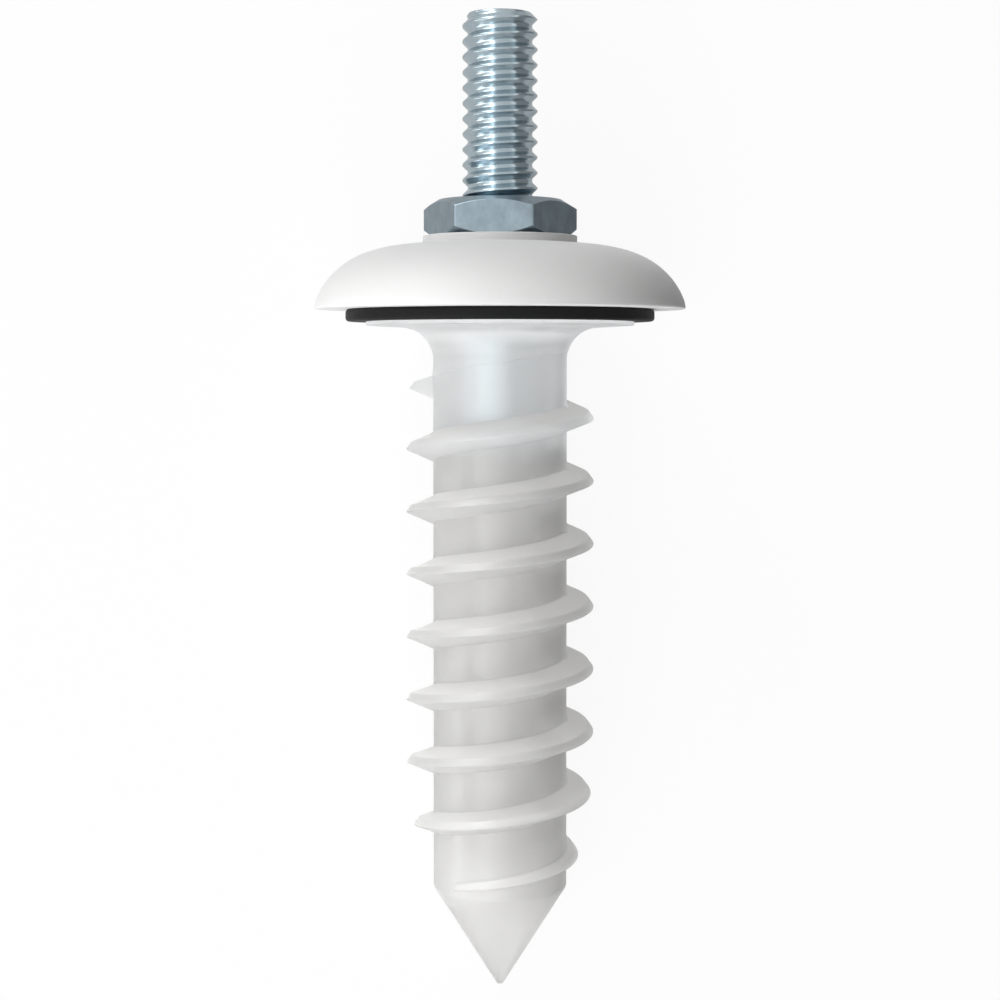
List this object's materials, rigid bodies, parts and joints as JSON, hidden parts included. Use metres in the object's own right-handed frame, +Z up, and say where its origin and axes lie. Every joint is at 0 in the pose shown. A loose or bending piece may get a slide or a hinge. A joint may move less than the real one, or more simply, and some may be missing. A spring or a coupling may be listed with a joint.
{
  "type": "screw-in insulation anchor",
  "caption": "Spiral nylon plug that screws into foam insulation board, with a rubber seal, a domed cap, a hex nut and a threaded stud; shown lying down.",
  "frame": {"origin": "on the floor under the middle of the overall box, with the anchor lying on its cap's rim and its rib", "axes": "+Y towards the stud along the anchor's length, +Z up, +X across; the anchor's own axis lies in the YZ plane and rises 10.7 degrees towards the stud"},
  "size_m": [0.047, 0.1226, 0.0462],
  "materials": {
    "plug_nylon": "milky natural nylon, satin, slightly see-through",
    "seal_rubber": "matt black",
    "cap_plastic": "white with a fine matt grain",
    "nut_zinc": "blue passivated zinc plate",
    "stud_zinc": "bright blue passivated zinc plate"
  },
  "bodies": {
    "root": {"spiral_plug": "plug_nylon", "seal_ring": "seal_rubber", "cover_cap": "cap_plastic", "hex_nut": "nut_zinc", "threaded_stud": "stud_zinc"}
  },
  "joints": []
}
